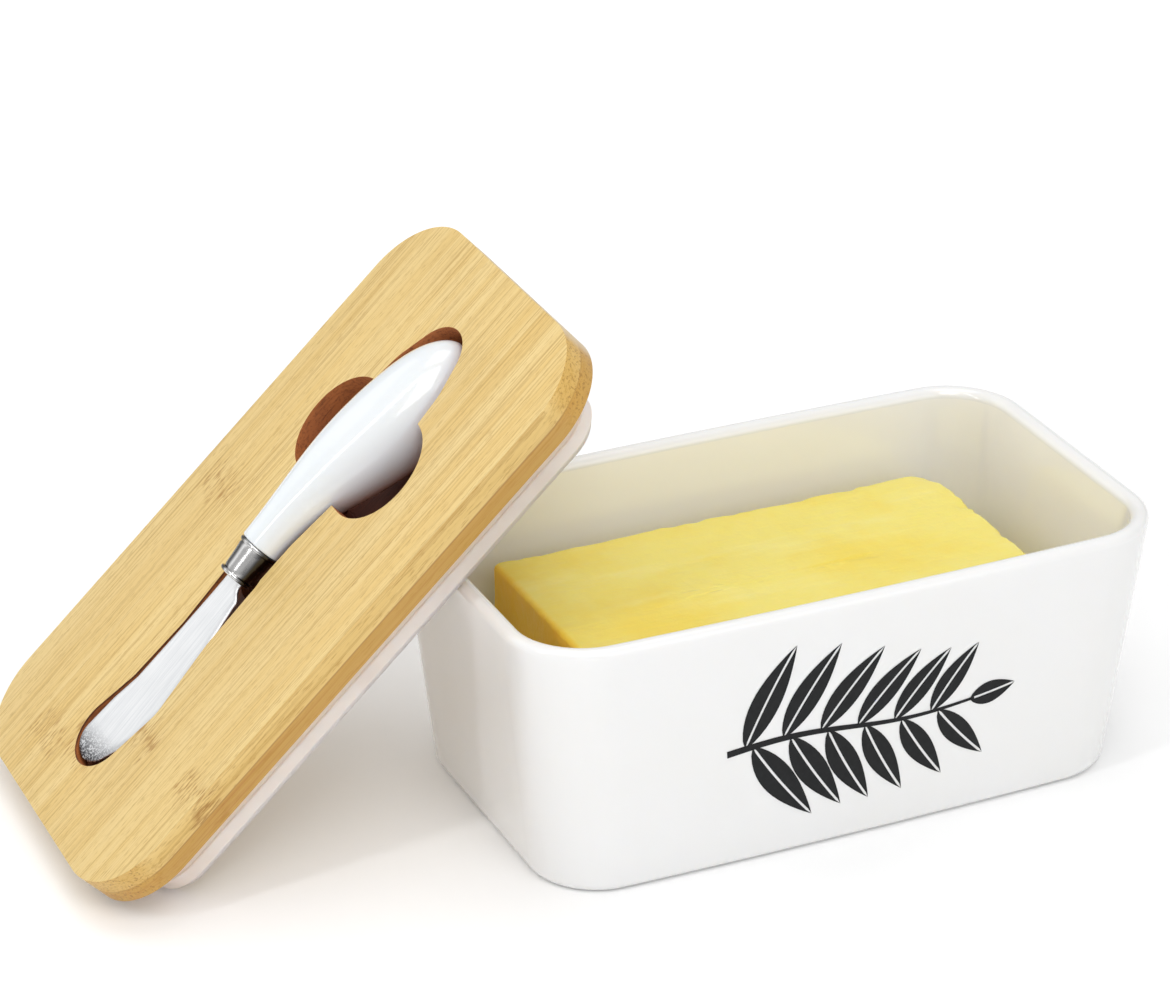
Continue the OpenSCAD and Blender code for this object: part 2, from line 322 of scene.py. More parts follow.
def bamboo(name, pale, deep, fibre, knuckle, side=False):
    """Laid bamboo strips along x: short fibres, strips of slightly different tone, knuckles."""
    m = Nodes(name)
    x, y, z = m.axes()[:3]
    strips = m.math("MULTIPLY", m.math("ADD", y, STRIP_SHIFT), 1 / STRIP_W)
    strip = m.math("FLOOR", strips)
    odd = m.add("ShaderNodeTexWhiteNoise", noise_dimensions="1D")
    m.link(strip, odd.inputs["W"])
    tone = odd.outputs["Value"]
    shifted = m.add("ShaderNodeCombineXYZ")
    m.link(m.math("ADD", x, tone), shifted.inputs[0])
    m.link(y, shifted.inputs[1])
    m.link(z, shifted.inputs[2])
    wide = m.noise(m.scaled(5, 150, 150, shifted.outputs[0]), 1, 3, 0.6)
    fine = m.noise(m.scaled(14, 1500, 1500, shifted.outputs[0]), 1, 3, 0.7)
    hair = m.noise(m.scaled(260, 2300, 2300, shifted.outputs[0]), 1, 2, 0.6)
    base = m.mix(m.ramp(wide, 0.30, 0.72), pale, deep)
    base = m.mix(m.math("MULTIPLY", m.ramp(tone, 0, 1, smooth=False), 0.25), base, deep)
    base = m.mix(m.ramp(fine, 0.46, 0.70, 0.0, 0.62), base, fibre)
    base = m.mix(m.ramp(hair, 0.55, 0.68, 0.0, 0.50), base, fibre)
    # knuckles: one ragged band across each strip every so often
    along = m.math("FRACT", m.math("ADD", m.math("MULTIPLY", x, 1 / KNUCKLE_EVERY),
                                   m.math("MULTIPLY", tone, 7.31)))
    uneven = m.noise(m.scaled(120, 900, 900), 1, 3)
    ragged = m.math("MULTIPLY", m.math("SUBTRACT", uneven, 0.5), 0.09)
    off = m.math("ABSOLUTE", m.math("ADD", m.math("SUBTRACT", along, 0.5), ragged))
    band = m.ramp(off, 0.006, 0.030, 1.0, 0.0)
    band = m.math("MULTIPLY", band, m.ramp(m.noise(m.scaled(260, 1700, 1700), 1, 2), 0.44, 0.66))
    base = m.mix(m.math("MULTIPLY", band, 0.80), base, knuckle)
    # a thin joint between strips
    edge = m.math("FRACT", strips)
    joint = m.ramp(m.math("ABSOLUTE", m.math("SUBTRACT", edge, 0.5)), 0.486, 0.497)
    base = m.mix(m.math("MULTIPLY", joint, 0.14), base, knuckle)
    if side:
        # a darker lower ply, veined along its length, and a thin glue line above it
        seam = m.math("ABSOLUTE", m.math("ADD", z, -GLUE_LINE_Z))
        lower = m.ramp(z, GLUE_LINE_Z - 0.0002, GLUE_LINE_Z + 0.0002, 1.0, 0.0)
        veins = m.ramp(m.noise(m.scaled(12, 260, 1100), 1, 4, 0.6, 0.3), 0.46, 0.66)
        rusty = m.ramp(x, -0.075, -0.010, 0.75, 0.25)
        base = m.mix(m.math("MULTIPLY", lower, 0.75), base, linear(182, 134, 48))
        base = m.mix(m.math("MULTIPLY", m.math("MULTIPLY", lower, veins), rusty), base,
                     linear(166, 98, 34))
        base = m.mix(m.ramp(seam, 0.0001, 0.0003, 0.55, 0.0), base, linear(150, 104, 50))
        # cut fibres show as pores at the corners, and the ends are pale
        along_x, along_y = m.math("ABSOLUTE", x), m.math("ABSOLUTE", y)
        corner = m.math("MULTIPLY", m.ramp(along_x, 0.068, 0.074), m.ramp(along_y, 0.030, 0.036))
        pores = m.math("MULTIPLY", m.ramp(m.noise(m.place, 1500, 2), 0.54, 0.66), corner)
        base = m.mix(m.math("MULTIPLY", corner, 0.45), base, linear(206, 160, 70))
        base = m.mix(m.math("MULTIPLY", pores, 0.55), base, linear(140, 92, 30))
        end = m.ramp(along_x, 0.0835, 0.0848, 0.0, 0.75)
        base = m.mix(end, base, linear(214, 192, 156))
    m.set(Base_Color=base)
    m.set(Roughness=m.ramp(fine, 0.3, 0.8, 0.42, 0.58), Coat_Weight=0.08, Coat_Roughness=0.35)
    grooves = m.math("ADD", m.math("MULTIPLY", fine, 0.7), m.math("MULTIPLY", hair, 0.5))
    m.bump(grooves, 0.30, 0.00012)
    return m.material


def burnt_and_shaded_recess():
    """The routed recess: the cutter has scorched the bamboo red-brown, with painted shade darker
    towards its floor.
    """
    m = Nodes("scorched_bamboo_and_painted_shade")
    x, _, z = m.axes()[:3]
    fine = m.noise(m.scaled(60, 1500, 1500), 1, 3, 0.65)
    blot = m.noise(m.place, 90, 3)
    # painted shade: the colour darkens towards the recess's floor
    depth = m.ramp(z, -0.015, -0.0002, 1.0, 0.0, smooth=False)
    base = m.mix(depth, linear(178, 104, 54), linear(110, 52, 26))
    # in the blade's slot: a dark scorched line along the top edge, and along the foot of the wall a
    # painted shadow of the blade in the same dark brown
    slot = m.ramp(x, -0.013, -0.009, 1.0, 0.0)
    rim = m.math("MULTIPLY", slot, m.ramp(z, -0.0007, -0.0003))
    foot = m.math("MULTIPLY", slot, m.ramp(z, -0.0038, -0.0028, 1.0, 0.0))
    base = m.mix(m.math("MULTIPLY", m.math("MAXIMUM", rim, foot), 0.8), base, linear(66, 28, 12))
    base = m.mix(m.ramp(fine, 0.45, 0.72, 0.0, 0.55), base, linear(72, 30, 14))
    base = m.mix(m.ramp(blot, 0.50, 0.75, 0.0, 0.35), base, linear(186, 110, 52))
    pores = m.ramp(m.noise(m.place, 1500, 2), 0.56, 0.66)
    base = m.mix(m.math("MULTIPLY", pores, 0.35), base, linear(70, 28, 12))
    m.set(Base_Color=base, Roughness=0.62)
    m.bump(fine, 0.35, 0.00015)
    return m.material


def silicone():
    """Translucent food silicone, pinker where it is thick."""
    m = Nodes("silicone")
    z = m.axes()[2]
    haze = m.noise(m.place, 70, 3)
    thick = m.ramp(z, -0.0172, -0.0160, 1.0, 0.0)
    base = m.mix(thick, linear(246, 224, 204), linear(252, 236, 228))
    base = m.mix(m.ramp(haze, 0.40, 0.72, 0.0, 0.35), base, linear(232, 214, 202))
    m.set(Base_Color=base, Roughness=m.ramp(haze, 0.3, 0.7, 0.28, 0.42))
    m.set(Transmission_Weight=0.10, IOR=1.41)
    m.set(Subsurface_Weight=0.5, Subsurface_Radius=(1.0, 0.75, 0.6), Subsurface_Scale=0.004)
    m.bump(m.noise(m.place, 420, 2), 0.12, 0.0002)
    return m.material


def steel(name, colour, dark, rough, stretch, line_depth, tip=False, painted_reflection_bands=()):
    """Stainless steel with fine polishing lines that run where the scale is smallest."""
    m = Nodes(name)
    lines = m.noise(m.scaled(*stretch), 1, 4, 0.7)
    smudge = m.noise(m.place, 110, 3)
    base = m.mix(m.ramp(lines, 0.35, 0.70), colour, dark)
    if tip:
        # the rounded tip is darker and speckled
        x = m.axes()[0]
        sparkle = m.ramp(m.noise(m.place, 2600, 1), 0.46, 0.64)
        near = m.ramp(x, -0.0665, -0.0565, 1.0, 0.0)
        base = m.mix(m.math("MULTIPLY", near, m.ramp(sparkle, 0, 1, 1.0, 0.30)), base,
                     linear(60, 60, 66))
    for middle, half, depth in painted_reflection_bands:
        # painted reflection: a dark stretch painted along the piece, this far round it, for dark
        # surroundings mirrored in the polished steel
        y, z = m.axes()[1:3]
        turn = m.math("ARCTAN2", y, z)
        off = m.math("ABSOLUTE", m.math("SUBTRACT", turn, math.radians(middle)))
        inner, outer = math.radians(0.3 * half), math.radians(half)
        base = m.mix(m.ramp(off, inner, outer, depth, 0.0), base, linear(52, 52, 54))
    m.set(Base_Color=base, Metallic=1.0)
    m.set(Roughness=m.math("ADD", m.ramp(smudge, 0.3, 0.7, rough, rough + 0.06),
                           m.math("MULTIPLY", lines, line_depth)))
    m.bump(lines, 2 * line_depth, 0.00005)
    return m.material


def cement():
    """Grey cement in the handle's bore."""
    m = Nodes("cement", own_axes=False)
    grain = m.noise(m.place, 1400, 4)
    m.set(Base_Color=m.mix(grain, linear(150, 146, 138), linear(196, 192, 184)), Roughness=0.9)
    m.bump(grain, 0.5, 0.0002)
    return m.material


def butter_look():
    """Cold butter: waxy and a little translucent, deeper yellow in patches, faint knife drag."""
    m = Nodes("butter")
    x = m.axes()[0]
    patch = m.noise(m.place, 26, 4, 0.6)
    cream = m.noise(m.scaled(30, 95, 95), 1, 3)
    base = m.mix(m.ramp(patch, 0.36, 0.68), linear(235, 220, 116), linear(234, 210, 88))
    base = m.mix(m.ramp(cream, 0.50, 0.78, 0.0, 0.5), base, linear(239, 230, 150))
    # painted shade: the left end, shaded under the lid, is painted a deeper, warmer yellow
    end = m.ramp(x, -0.0600, -0.0570, 1.0, 0.0)
    base = m.mix(m.math("MULTIPLY", end, 0.85), base, linear(255, 196, 34))
    m.set(Base_Color=base)
    m.set(Roughness=m.ramp(patch, 0.3, 0.7, 0.34, 0.50), IOR=1.46)
    m.set(Subsurface_Weight=0.40, Subsurface_Radius=(1.0, 0.75, 0.30), Subsurface_Scale=0.005)
    drag = m.noise(m.scaled(40, 420, 420), 1, 4, 0.6)
    lump = m.noise(m.place, 130, 3)
    m.bump(m.math("ADD", m.math("MULTIPLY", drag, 0.55), lump), 0.55, 0.0008)
    return m.material


def ink():
    """The print's black, slightly uneven."""
    m = Nodes("black_ink")
    worn = m.noise(m.place, 700, 3)
    m.set(Base_Color=m.mix(worn, linear(10, 11, 12), linear(30, 31, 33)), Roughness=0.45)
    m.set(Specular_IOR_Level=0.2)
    return m.material


GLAZE = porcelain("white_glaze", (0.835, 0.835, 0.832), (0.827, 0.825, 0.815))
# painted light: a brighter, creamier copy of the white glaze for the tub's inside, lifting the
# shade there
INNER_GLAZE_PAINTED_LIGHT = porcelain("inner_glaze_painted_light", (0.895, 0.885, 0.862), (0.888, 0.874, 0.842))
HANDLE_GLAZE = porcelain("handle_glaze", (0.76, 0.80, 0.825), (0.785, 0.81, 0.83))
DRY = unglazed()
TOP = bamboo("bamboo_top", linear(229, 203, 140), linear(219, 186, 114), linear(174, 134, 62),
             linear(164, 118, 44))
SIDE = bamboo("bamboo_side", linear(226, 196, 128), linear(214, 178, 102), linear(172, 128, 52),
              linear(156, 108, 40), side=True)
UNDER = bamboo("bamboo_underside", linear(228, 208, 176), linear(220, 196, 158),
               linear(190, 158, 114), linear(176, 140, 92))
SCORCHED_AND_SHADED = burnt_and_shaded_recess()
SILICONE = silicone()
BLADE_STEEL = steel("satin_steel", linear(236, 237, 238), linear(222, 224, 226), 0.34,
                    (60, 2600, 2600), 0.06, tip=True)
# the ferrule's two dark stretches are painted reflections
FERRULE_STEEL = steel("polished_steel", linear(214, 213, 212), linear(204, 203, 202), 0.20,
                      (60, 900, 900), 0.0, painted_reflection_bands=((-74, 38, 0.95), (20, 24, 0.9)))
CEMENT = cement()
BUTTER = butter_look()
INK = ink()


# ---------------------------------------------------------------- tub

def tub_ring(z, inset):
    """The tub's outline at a height, this far inside its outer face."""
    lean = 1 - z / TUB_H
    l = TUB_L - 2 * END_DRAFT * lean - 2 * inset
    w = TUB_W - 2 * SIDE_DRAFT * lean - 2 * inset
    r = max(TUB_R - FOOT_R_LESS * lean - inset, 2)
    return [(x, y, z) for x, y in outline(l, w, r, SIDE_BOW)]


def make_tub():
    """From the underside's middle, round the foot, up the wall, over the rim and down inside."""
    rings = [tub_ring(0.9, 14.0), tub_ring(0.9, 9.2), tub_ring(0.5, 8.8), tub_ring(0.0, 8.3),
             tub_ring(0.0, 6.0)]
    dry = len(rings)
    for s in range(0, 9):
        a = math.radians(90 * s / 8)
        rings.append(tub_ring(FOOT_R * (1 - math.cos(a)), FOOT_R * (1 - math.sin(a))))
    for s in range(1, 9):
        rings.append(tub_ring(FOOT_R + (TUB_H - LIP - FOOT_R) * s / 9, 0))
    for s in range(0, 17):
        a = math.radians(180 * s / 16)
        rings.append(tub_ring(TUB_H - LIP + LIP * math.sin(a), LIP * (1 - math.cos(a))))
    rim = len(rings) - 1
    for s in range(1, 8):
        z = TUB_H - LIP - (TUB_H - LIP - FLOOR - INNER_R) * s / 8
        rings.append(tub_ring(z, WALL))
    for s in range(0, 9):
        a = math.radians(90 * s / 8)
        rings.append(tub_ring(FLOOR + INNER_R * (1 - math.sin(a)),
                              WALL + INNER_R * (1 - math.cos(a))))
    rings.append(tub_ring(FLOOR, 18))
    points, faces = loft(rings)
    materials = [GLAZE, DRY, INNER_GLAZE_PAINTED_LIGHT]
    tub = add_object("tub_body", points, faces, materials, "tub")
    around = len(rings[0])
    for i, face in enumerate(tub.data.polygons):
        if around * 2 <= i < around * dry:
            face.material_index = materials.index(DRY)
        # the inside faces take the brighter copy of the glaze, as painted light
        elif face.center.z > FLOOR * MM / 2 and i >= around * rim:
            face.material_index = materials.index(INNER_GLAZE_PAINTED_LIGHT)
    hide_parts("tub")


def on_front(u, v):
    """The point just off the tub's front face at u along it and v up it."""
    lean = 1 - v / TUB_H
    l = TUB_L - 2 * END_DRAFT * lean
    half = TUB_W / 2 - SIDE_DRAFT * lean
    return (u, -(half - SIDE_BOW * (2 * u / l) ** 2) - PRINT_LIFT, v)


def make_print():
    """A leafy branch of plain pointed leaves, printed in black on the tub's front."""
    points, faces = [], []

    def patch(rows):
        """Adds a grid of faces, lying on the tub, through rows of points."""
        start, n = len(points), len(rows[0])
        for row in rows:
            points.extend(on_front(u, v) for u, v in row)
        for j in range(len(rows) - 1):
            for i in range(n - 1):
                a = start + j * n + i
                faces.append((a, a + 1, a + n + 1, a + n))

    def leaf(u, v, angle, length, width, lean):
        """Two halves with a thin gap between them for the midrib."""
        ca, sa = math.cos(angle), math.sin(angle)
        for side in (1, -1):
            rows = []
            for t in range(0, 15):
                f = t / 14
                reach = width / 2 * math.sin(math.pi * f ** 0.82) ** 0.9
                bend = lean * length * f * f
                rib = min(0.30, reach)
                row = []
                for k in range(0, 4):
                    across = side * (rib + (reach - rib) * k / 3)
                    row.append((u + ca * length * f - sa * (across + bend),
                                v + sa * length * f + ca * (across + bend)))
                rows.append(row)
            patch(rows if side == 1 else [row[::-1] for row in rows])

    def stem_at(t):
        return (BRANCH_FROM + BRANCH_L * t, BRANCH_Z + 1.2 * math.sin(2 * math.pi * t))

    rows = []
    for s in range(0, 61):
        t = s / 60
        (u, v), (u2, v2) = stem_at(t), stem_at(t + 0.01)
        d = math.hypot(u2 - u, v2 - v)
        half = 0.95 - 0.55 * t
        nu, nv = -(v2 - v) / d * half, (u2 - u) / d * half
        rows.append([(u - nu, v - nv), (u, v), (u + nu, v + nv)])
    patch(rows)
    for i in range(LEAF_PAIRS):
        t = 0.07 + 0.150 * i
        (u, v), (u2, v2) = stem_at(t), stem_at(t + 0.01)
        along = math.atan2(v2 - v, u2 - u)
        size = 28.5 - 1.6 * i
        for s in (1, -1):
            du, dv = stem_at(t + (0.03 if s < 0 else 0.0))
            angle = along + s * math.radians(64 - 1.5 * i)
            leaf(du, dv, angle, size, 7.9 - 0.3 * i, -0.08 * s)
    (u, v), (u2, v2) = stem_at(0.98), stem_at(0.99)
    leaf(u, v, math.atan2(v2 - v, u2 - u), 12.5, 6.2, 0.05)
    mark = add_object("printed_branch", points, faces, [INK], "tub")


# ---------------------------------------------------------------- lid

def disc_points(disc, n=144):
    """Points round a disc given as x, y and radius."""
    x, y, r = disc
    return [(x + r * math.cos(2 * math.pi * i / n), y + r * math.sin(2 * math.pi * i / n))
            for i in range(n)]


def hull(points):
    """Convex hull of points in a plane, counter-clockwise."""
    points = sorted(set((round(x, 6), round(y, 6)) for x, y in points))

    def half(found):
        chain = []
        for p in found:
            while len(chain) > 1 and ((chain[-1][0] - chain[-2][0]) * (p[1] - chain[-2][1])
                                      - (chain[-1][1] - chain[-2][1]) * (p[0] - chain[-2][0])) <= 0:
                chain.pop()
            chain.append(p)
        return chain[:-1]

    return half(points) + half(points[::-1])


def edge_at(loop, x, top):
    """Highest or lowest y of a convex loop at x, or None outside it."""
    found = []
    for (x0, y0), (x1, y1) in zip(loop, loop[1:] + loop[:1]):
        if min(x0, x1) <= x <= max(x0, x1):
            found.append(y0 if x0 == x1 else y0 + (y1 - y0) * (x - x0) / (x1 - x0))
    return (max(found) if top else min(found)) if found else None


def chain_outline(discs, stop=None, n=90):
    """Outline of a row of discs joined pairwise by their tangents, cut off square at x = stop."""
    loops = [hull(disc_points(a) + disc_points(b)) for a, b in zip(discs, discs[1:])]
    x0 = min(x for loop in loops for x, _ in loop)
    x1 = max(x for loop in loops for x, _ in loop)
    if stop is not None:
        x1 = stop
        last = discs[-1]
        loops.append([(last[0], last[1] - last[2]), (stop, last[1] - last[2]),
                      (stop, last[1] + last[2]), (last[0], last[1] + last[2])])
    xs = [x0 + (x1 - x0) * (1 - math.cos(math.pi * i / n)) / 2 for i in range(n + 1)]
    upper, lower = [], []
    for x in xs:
        tops = [v for v in (edge_at(loop, x, True) for loop in loops) if v is not None]
        lows = [v for v in (edge_at(loop, x, False) for loop in loops) if v is not None]
        if tops:
            upper.append((x, max(tops)))
            lower.append((x, min(lows)))
    loop = upper + lower[::-1]
    clean = []
    for p in loop[::-1]:
        if not clean or math.dist(p, clean[-1]) > 0.02:
            clean.append(p)
    if math.dist(clean[0], clean[-1]) < 0.02:
        clean.pop()
    return clean


def prism(name, loop, low, high):
    """A loose object: a prism on a loop of points, between two heights."""
    mesh = bpy.data.meshes.new(name)
    n = len(loop)
    points = [(x * MM, y * MM, z * MM) for z in (low, high) for x, y in loop]
    faces = [tuple(range(n))[::-1], tuple(range(n, 2 * n))]
    faces += [(i, (i + 1) % n, n + (i + 1) % n, n + i) for i in range(n)]
    mesh.from_pydata(points, [], faces)
    mesh.update()
    obj = bpy.data.objects.new(name, mesh)
    bpy.context.scene.collection.objects.link(obj)
    return obj


def make_board():
    """The board and its tongue, with the spreader's recess cut out and every edge broken."""
    rim = outline(TUB_L, TUB_W, TUB_R, corner=24, side=2, end=2)
    board = prism("lid_board_top", rim, -BOARD_T, 0)
    finger = [(FINGER_X + FINGER_R * math.cos(math.pi * i / 32), FINGER_REACH
               + FINGER_R * math.sin(math.pi * i / 32)) for i in range(33)]
    finger += [(2 * FINGER_X - x, -y) for x, y in finger]
    cutters = [prism("cut_slot", chain_outline(SLOT), -SLOT_D, 1),
               prism("cut_channel", chain_outline(CHANNEL), -CHANNEL_D, 1),
               prism("cut_finger", finger, -FINGER_D, 1)]
    tongue = prism("lid_tongue", outline(TUB_L - 2 * TONGUE_IN, TUB_W - 2 * TONGUE_IN,
                                         TUB_R - TONGUE_IN, corner=12, side=2, end=2),
                   -LID_T, -BOARD_T + 0.5)
    for operation, other in [("UNION", tongue)] + [("DIFFERENCE", c) for c in cutters]:
        step = board.modifiers.new("cut", "BOOLEAN")
        step.operation, step.object, step.solver = operation, other, "EXACT"
    apply_modifiers(board)
    for other in cutters + [tongue]:
        bpy.data.objects.remove(other)
    soft = board.modifiers.new("soft_edges", "BEVEL")
    soft.width, soft.segments, soft.limit_method = 0.00055, 3, "ANGLE"
    soft.angle_limit, soft.harden_normals = math.radians(40), False
    soft.use_clamp_overlap = True
    apply_modifiers(board)
    mesh = board.data
    mesh.materials.clear()
    materials = [TOP, SIDE, SCORCHED_AND_SHADED, UNDER]
    for m in materials:
        mesh.materials.append(m)
    for face in mesh.polygons:
        c, up = face.center / MM, face.normal.z
        dx, dy = abs(c.x) - TUB_L / 2 + TUB_R, abs(c.y) - TUB_W / 2 + TUB_R
        margin = 13 if c.z < 0.5 - BOARD_T else 3
        inside = math.hypot(max(dx, 0), max(dy, 0)) + min(max(dx, dy), 0) < TUB_R - margin
        if c.z > -FINGER_D - 0.5 and inside and (c.z < -0.45 or up < 0.75) and up > -0.5:
            wanted = SCORCHED_AND_SHADED
        elif up > 0.75:
            wanted = TOP
        elif c.z < -BOARD_T + 0.3 or up < -0.7:
            wanted = UNDER
        else:
            wanted = SIDE
        face.material_index = materials.index(wanted)
    mesh.shade_smooth()
    mesh.set_sharp_from_angle(angle=math.radians(34))
    set_in_place(board, "lid", LID)
    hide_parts("lid_board")


def make_seal():
    """One moulded ring: a sleeve round the tongue, a thin fin above and a thick band below."""
    inner = TONGUE_IN - GAP
    sleeve = TONGUE_IN - SLEEVE_T
    fin = BOARD_T + FIN_DROP
    band = SEAL_END - BAND_H
    profile = [(inner, BOARD_T + GAP), (sleeve + 0.15, BOARD_T + GAP), (sleeve, BOARD_T + 0.25),
               (sleeve, fin - 0.5), (sleeve - 0.35, fin)]
    tip = 0.30
    for s in range(0, 9):
        a = math.radians(180 * s / 8)
        profile.append((FIN_IN + tip - tip * math.sin(a),
                        fin + FIN_T / 2 - FIN_T / 2 * math.cos(a)))
    profile += [(sleeve - 0.35, fin + FIN_T), (sleeve, fin + FIN_T + 0.5), (sleeve, band - 0.5),
                (sleeve - 0.1, band - 0.1)]
    for s in range(0, 7):
        a = math.radians(90 * s / 6)
        profile.append((BAND_IN + 0.5 * (1 - math.sin(a)), band + 0.5 * (1 - math.cos(a))))
    for s in range(0, 9):
        a = math.radians(90 * s / 8)
        profile.append((BAND_IN + 0.9 * (1 - math.cos(a)), SEAL_END - 0.9 + 0.9 * math.sin(a)))
    # a thin skirt of the moulding wraps the rest of the tongue's edge
    profile += [(TONGUE_IN - 0.5, SEAL_END + 0.05), (TONGUE_IN - 0.35, SEAL_END + 0.3),
                (TONGUE_IN - SKIRT_T, LID_T - 0.35), (TONGUE_IN - 0.20, LID_T - 0.15),
                (inner, LID_T - 0.10)]
    rings = []
    for inset, depth in profile:
        loop = outline(TUB_L - 2 * inset, TUB_W - 2 * inset, TUB_R - inset,
                       corner=16, side=24, end=12)
        rings.append([(x, y, -depth) for x, y in loop])
    points, faces = loft(rings, closed=True)
    seal = add_object("seal_ring", points, [f[::-1] for f in faces], [SILICONE], "lid", LID)
    seal.data.set_sharp_from_angle(angle=math.radians(50))
    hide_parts("lid_seal")


# ---------------------------------------------------------------- spreader

def handle_radius(x):
    """The handle swells from its neck to its peak and closes in a half ellipse."""
    if x < PEAK:
        return NECK_R + (HANDLE_R - NECK_R) * (1 - math.cos(math.pi * x / PEAK)) / 2
    return HANDLE_R * math.sqrt(max(0.0, 1 - ((x - PEAK) / (HANDLE_L - PEAK)) ** 2))


def make_handle():
    """A turned club whose middle line sinks into the lid, with a spigot in the ferrule."""
    sides = 64
    rings = []

    def ring(x, r):
        along = min(1.0, max(0.0, x / DROP_L))
        sink = HANDLE_DROP * (1 - math.cos(math.pi * along)) / 2
        rings.append([(x, r * math.cos(2 * math.pi * i / sides) - sink * math.sin(ROLL),
                       r * math.sin(2 * math.pi * i / sides) - sink * math.cos(ROLL))
                      for i in range(sides)])

    for x, r in ((-6, SPIGOT_R - 0.3), (-5.7, SPIGOT_R), (-0.02, SPIGOT_R),
                 (0.0, NECK_R - 0.6), (0.08, NECK_R - 0.25),
                 (0.3, NECK_R - 0.06), (0.6, handle_radius(0.6))):
        ring(x, r)
    for s in range(1, 73):
        x = 0.6 + (0.9975 * HANDLE_L - 0.6) * math.sin(math.pi / 2 * s / 72)
        ring(x, handle_radius(x))
    points, faces = loft(rings)
    handle = add_object("handle", points, faces, [HANDLE_GLAZE], "spreader", SPREADER)
    handle.data.set_sharp_from_angle(angle=math.radians(60))
    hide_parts("spreader_handle")


def lathe(profile, sides=64):
    """Rings round the x axis through points given as x and radius."""
    return [[(x, r * math.cos(2 * math.pi * i / sides), r * math.sin(2 * math.pi * i / sides))
             for i in range(sides)] for x, r in profile]


def make_ferrule():
    """A drawn collar with a rolled bead at each end and a faintly waisted middle."""
    front, back = -FERRULE_L, -GAP
    profile = [(front + 1.2, 0.65), (front, 0.65), (front, FERRULE_R - 0.5)]
    for s in range(0, 13):
        a = math.radians(200 * s / 12 - 10)
        profile.append((front + BEAD_R - BEAD_R * math.cos(a),
                        FERRULE_R - 0.1 + BEAD_R * math.sin(a)))
    for s in range(1, 12):
        t = s / 12
        r = FERRULE_R + (FERRULE_BACK_R - FERRULE_R) * t - 0.10 * math.sin(math.pi * t)
        profile.append((front + 1.25 + (FERRULE_L - 2.5) * t, r))
    for s in range(0, 13):
        a = math.radians(200 * s / 12 - 10)
        profile.append((back - BEAD_R - BEAD_R * math.cos(a), FERRULE_BACK_R - 0.1
                        + BEAD_R * math.sin(a)))
    profile += [(back, SPIGOT_R + 0.05), (front + 1.2, SPIGOT_R + 0.05)]
    points, faces = loft(lathe(profile), closed=True)
    ferrule = add_object("ferrule", points, faces, [FERRULE_STEEL], "spreader", SPREADER)
    ferrule.data.set_sharp_from_angle(angle=math.radians(50))
    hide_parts("spreader_ferrule")


def make_blade():
    """A flat blade whose faces thin a little towards their rounded edges."""
    loop = chain_outline(BLADE_DISCS, stop=BLADE_END, n=140)
    xs = sorted(set(round(x, 5) for x, y in loop))
    # the shank narrows from the blade's neck to where it enters the ferrule
    upper, lower = {}, {}
    for x, y in loop:
        key = round(x, 5)
        upper[key] = max(upper.get(key, -99), y)
        lower[key] = min(lower.get(key, 99), y)
    rows = []
    for x in xs:
        top, low = upper[x], lower[x]
        if x > SHANK_FROM:
            t = min(1.0, (x - SHANK_FROM) / SHANK_OVER)
            t = t * t * (3 - 2 * t)
            top, low = top + (SHANK - top) * t, low + (-SHANK - low) * t
        rows.append((x, low, top))
    across = 12
    points, faces = [], []
    n = across + 1
    for sign in (1, -1):
        for x, low, top in rows:
            mid, half = (low + top) / 2, (top - low) / 2
            for i in range(n):
                u = -math.cos(math.pi * i / across)
                edge = max(0.0, (half - abs(u) * half))
                crown = BLADE_T / 2 * (0.25 + 0.75 * min(1.0, edge / 1.1) ** 0.5)
                if x < THIN_TIP_FROM:
                    crown *= max(0.25, min(1.0, (x - BLADE_TIP) / 2.0)) ** 0.5
                points.append((x, mid + u * half, sign * crown))
    m = len(rows)
    for sign in (0, 1):
        base = sign * m * n
        for j in range(m - 1):
            for i in range(n - 1):
                a = base + j * n + i
                f = (a, a + n, a + n + 1, a + 1)
                faces.append(f if sign == 0 else f[::-1])
    for j in range(m - 1):
        for i, flip in ((0, False), (n - 1, True)):
            a = j * n + i
            f = (a, m * n + a, m * n + a + n, a + n)
            faces.append(f[::-1] if flip else f)
    for i in range(n - 1):
        faces.append((i, i + 1, m * n + i + 1, m * n + i))
        a = (m - 1) * n + i
        faces.append((a, m * n + a, m * n + a + 1, a + 1))
    blade = add_object("blade", points, faces, [BLADE_STEEL], "spreader", SPREADER)
    blade.data.set_sharp_from_angle(angle=math.radians(45))
    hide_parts("spreader_blade")


# ---------------------------------------------------------------- butter

